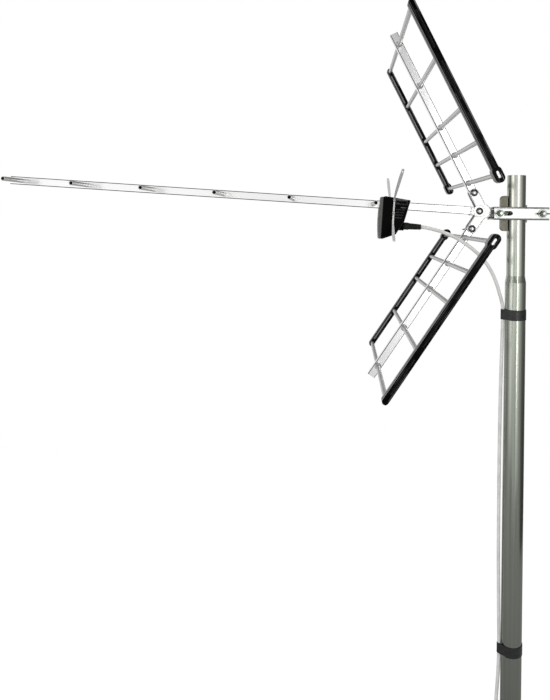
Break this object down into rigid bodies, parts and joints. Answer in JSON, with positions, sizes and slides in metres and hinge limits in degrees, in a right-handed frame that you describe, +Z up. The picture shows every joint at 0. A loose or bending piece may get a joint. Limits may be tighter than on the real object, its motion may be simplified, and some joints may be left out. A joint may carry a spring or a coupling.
{
  "type": "outdoor television antenna",
  "caption": "Directional UHF television antenna with a square boom, six cross directors, a boxed dipole and a two-panel corner reflector of rods, clamped to a round mast.",
  "frame": {"origin": "centre of the mast's foot", "axes": "+Z up the mast; the boom's tip points to -X; directors and reflector rods lie along Y"},
  "size_m": [1.0273, 0.507, 1.3726],
  "materials": {
    "galvanised": "satin galvanised steel",
    "tape": "satin wound tape",
    "boom_alloy": "drawn square tube",
    "alloy": "drawn tube",
    "panel_alloy": "drawn square tube",
    "strip_alloy": "stamped strip",
    "cast_alloy": "die-cast",
    "clamp_alloy": "bright pressed channel",
    "zinc_steel": "zinc plated",
    "rail_plastic": "gloss moulded",
    "box_plastic": "satin moulded",
    "lid_plastic": "satin moulded",
    "boot_rubber": "soft rubber",
    "cable_jacket": "smooth jacket",
    "plug_metal": "nickel plated",
    "socket_brass": "turned",
    "board": "coated board"
  },
  "bodies": {
    "root": {"mast": "galvanised", "tape_upper": "tape", "tape_lower": "tape", "boom": "boom_alloy", "director_1": "alloy", "director_2": "alloy", "director_3": "alloy", "director_4": "alloy", "director_5": "alloy", "director_6": "alloy", "dipole_box": "box_plastic", "dipole_lid": "lid_plastic", "balun_board": "board", "coax_socket": "socket_brass", "dipole_near": "strip_alloy", "dipole_far": "strip_alloy", "dipole_screws": "zinc_steel", "cable_boot": "boot_rubber", "coax_cable": "cable_jacket", "coax_plug": "plug_metal", "bracket_front": "cast_alloy", "bracket_rear": "cast_alloy", "bracket_bolts": "zinc_steel", "bracket_wing_nuts": "zinc_steel", "panel_tube_upper": "panel_alloy", "panel_tube_lower": "panel_alloy", "upper_rod_1": "alloy", "upper_rod_2": "alloy", "upper_rod_3": "alloy", "upper_rod_4": "alloy", "upper_rod_5": "alloy", "lower_rod_1": "alloy", "lower_rod_2": "alloy", "lower_rod_3": "alloy", "lower_rod_4": "alloy", "lower_rod_5": "alloy", "rail_upper_near": "rail_plastic", "rail_upper_far": "rail_plastic", "rail_lower_near": "rail_plastic", "rail_lower_far": "rail_plastic", "clamp_front": "clamp_alloy", "clamp_rear": "clamp_alloy", "mast_jaw": "zinc_steel", "rear_seat": "zinc_steel", "clamp_bolts": "zinc_steel", "clamp_washers": "zinc_steel", "clamp_wing_nuts": "zinc_steel"}
  },
  "joints": []
}
